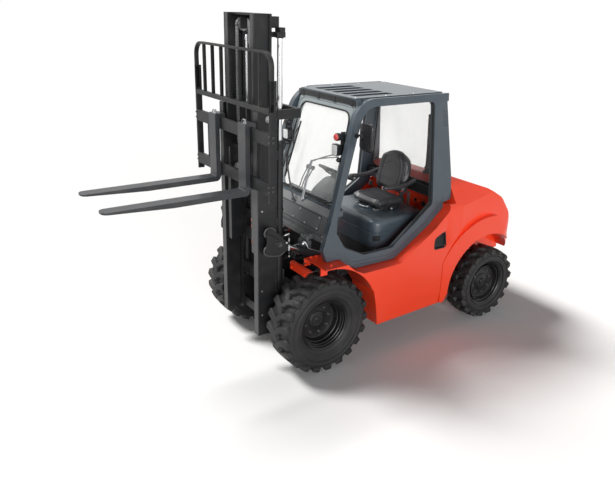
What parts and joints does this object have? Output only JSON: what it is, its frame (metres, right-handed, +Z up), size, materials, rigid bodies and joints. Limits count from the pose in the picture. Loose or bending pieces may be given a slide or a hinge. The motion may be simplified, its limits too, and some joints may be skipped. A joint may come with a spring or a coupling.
{
  "type": "rough terrain forklift",
  "caption": "Rough terrain forklift with an open cab, a two-stage lift mast, hook-on forks and rear steering.",
  "frame": {"origin": "centre of the whole machine's bounding box, on the ground", "axes": "+X forward to the fork tips, +Y to the driver's left, +Z up"},
  "size_m": [4.445, 1.558, 3.1272],
  "materials": {
    "chassis_black": "satin",
    "red_body": "gloss",
    "blue_grey_paint": "satin",
    "light_grey_paint": "satin",
    "cowl_grey": "satin",
    "floor_mat": "matte",
    "cab_glass": "clear",
    "black_plastic": "grained",
    "lamp_housing": "black housing with clear and red lenses",
    "stack_steel": "heat dulled",
    "seat_vinyl": "grained vinyl",
    "tyre_rubber": "matte",
    "rim_black": "satin",
    "mast_black": "satin",
    "chain_steel": "oiled",
    "rod_chrome": "polished",
    "fork_steel": "worn"
  },
  "bodies": {
    "chassis": {"main_frame": "chassis_black", "front_axle": "chassis_black", "rear_axle": "chassis_black", "engine_block": "chassis_black", "counterweight": "red_body", "side_panels": "red_body", "floor_plate": "floor_mat", "cab_frame": "blue_grey_paint", "roof_panel": "blue_grey_paint", "windshield_frame": "light_grey_paint", "cab_glass": "cab_glass", "front_cowl": "cowl_grey", "steering_console": "black_plastic", "mirror_left": "black_plastic", "headlamps": "lamp_housing", "exhaust_stack": "stack_steel"},
    "hood": {"engine_hood": "blue_grey_paint", "seat_base": "black_plastic", "seat_cushion": "seat_vinyl", "seat_backrest": "seat_vinyl", "armrests": "black_plastic"},
    "steering_wheel": {"steering_wheel": "black_plastic"},
    "wheel_front_left": {"tyre_front_left": "tyre_rubber", "rim_front_left": "rim_black"},
    "wheel_front_right": {"tyre_front_right": "tyre_rubber", "rim_front_right": "rim_black"},
    "wheel_rear_left": {"tyre_rear_left": "tyre_rubber", "rim_rear_left": "rim_black"},
    "wheel_rear_right": {"tyre_rear_right": "tyre_rubber", "rim_rear_right": "rim_black"},
    "knuckle_left": {"knuckle_left": "chassis_black"},
    "knuckle_right": {"knuckle_right": "chassis_black"},
    "mast_outer": {"mast_outer": "mast_black", "lift_barrels": "mast_black", "chain_rear": "chain_steel"},
    "mast_inner": {"mast_inner": "mast_black", "lift_rods": "rod_chrome", "chain_pulleys": "chain_steel"},
    "carriage": {"carriage": "mast_black", "load_backrest": "mast_black", "chain_front": "chain_steel"},
    "fork_left": {"fork_left": "fork_steel"},
    "fork_right": {"fork_right": "fork_steel"},
    "tilt_barrel_left": {"tilt_barrel_left": "mast_black"},
    "tilt_barrel_right": {"tilt_barrel_right": "mast_black"},
    "tilt_rod_left": {"tilt_rod_left": "rod_chrome"},
    "tilt_rod_right": {"tilt_rod_right": "rod_chrome"}
  },
  "joints": [
    {"name": "mast_tilt", "type": "hinge", "parent": "chassis", "child": "mast_outer", "pos_m": [0.4175, 0, 0.467], "axis": [0, 1, 0], "range_deg": [-12, 10]},
    {"name": "mast_lift", "type": "slide", "parent": "mast_outer", "child": "mast_inner", "axis": [0, 0, 1], "range_m": [-0.76, 0.549], "deforming": ["chain_rear"]},
    {"name": "carriage_lift", "type": "slide", "parent": "mast_inner", "child": "carriage", "axis": [0, 0, 1], "range_m": [-0.9005, 0.6506], "deforming": ["chain_front"]},
    {"name": "fork_shift_left", "type": "slide", "parent": "carriage", "child": "fork_left", "axis": [0, 1, 0], "range_m": [-0.2, 0.28]},
    {"name": "fork_shift_right", "type": "slide", "parent": "carriage", "child": "fork_right", "axis": [0, 1, 0], "range_m": [-0.334, 0.146]},
    {"name": "tilt_barrel_left_pivot", "type": "hinge", "parent": "chassis", "child": "tilt_barrel_left", "pos_m": [0.1555, 0.388, 0.962], "axis": [0, 1, 0], "range_deg": [-11.67, 9.76]},
    {"name": "tilt_rod_left_slide", "type": "slide", "parent": "tilt_barrel_left", "child": "tilt_rod_left", "axis": [0.9129, 0, 0.4082], "range_m": [-0.117, 0.0977]},
    {"name": "tilt_barrel_right_pivot", "type": "hinge", "parent": "chassis", "child": "tilt_barrel_right", "pos_m": [0.1555, -0.388, 0.962], "axis": [0, 1, 0], "range_deg": [-11.67, 9.76]},
    {"name": "tilt_rod_right_slide", "type": "slide", "parent": "tilt_barrel_right", "child": "tilt_rod_right", "axis": [0.9129, 0, 0.4082], "range_m": [-0.117, 0.0977]},
    {"name": "hood_hinge", "type": "hinge", "parent": "chassis", "child": "hood", "pos_m": [-0.3385, 0, 0.968], "axis": [0, 1, 0], "range_deg": [0, 30]},
    {"name": "steering_wheel_spin", "type": "hinge", "parent": "chassis", "child": "steering_wheel", "pos_m": [-0.1725, 0, 1.64], "axis": [-0.454, 0, 0.891], "continuous": true},
    {"name": "steer_left", "type": "hinge", "parent": "chassis", "child": "knuckle_left", "pos_m": [-1.7125, 0.585, 0.396], "axis": [0, 0, 1], "range_deg": [-40, 40]},
    {"name": "steer_right", "type": "hinge", "parent": "chassis", "child": "knuckle_right", "pos_m": [-1.7125, -0.585, 0.396], "axis": [0, 0, 1], "range_deg": [-40, 40]},
    {"name": "spin_front_left", "type": "hinge", "parent": "chassis", "child": "wheel_front_left", "pos_m": [0.4175, 0.61, 0.467], "axis": [0, 1, 0], "continuous": true},
    {"name": "spin_rear_left", "type": "hinge", "parent": "knuckle_left", "child": "wheel_rear_left", "pos_m": [-1.7125, 0.647, 0.396], "axis": [0, 1, 0], "continuous": true},
    {"name": "spin_front_right", "type": "hinge", "parent": "chassis", "child": "wheel_front_right", "pos_m": [0.4175, -0.61, 0.467], "axis": [0, 1, 0], "continuous": true},
    {"name": "spin_rear_right", "type": "hinge", "parent": "knuckle_right", "child": "wheel_rear_right", "pos_m": [-1.7125, -0.647, 0.396], "axis": [0, 1, 0], "continuous": true}
  ],
  "couplings": [
    {"joint": "carriage_lift", "follows": "mast_lift", "ratio": 1.1842},
    {"joint": "steer_right", "follows": "steer_left", "ratio": 1},
    {"joint": "tilt_barrel_left_pivot", "follows": "mast_tilt", "ratio": 0.956},
    {"joint": "tilt_rod_left_slide", "follows": "mast_tilt", "m_per_rad": 0.554},
    {"joint": "tilt_barrel_right_pivot", "follows": "mast_tilt", "ratio": 0.956},
    {"joint": "tilt_rod_right_slide", "follows": "mast_tilt", "m_per_rad": 0.554}
  ]
}
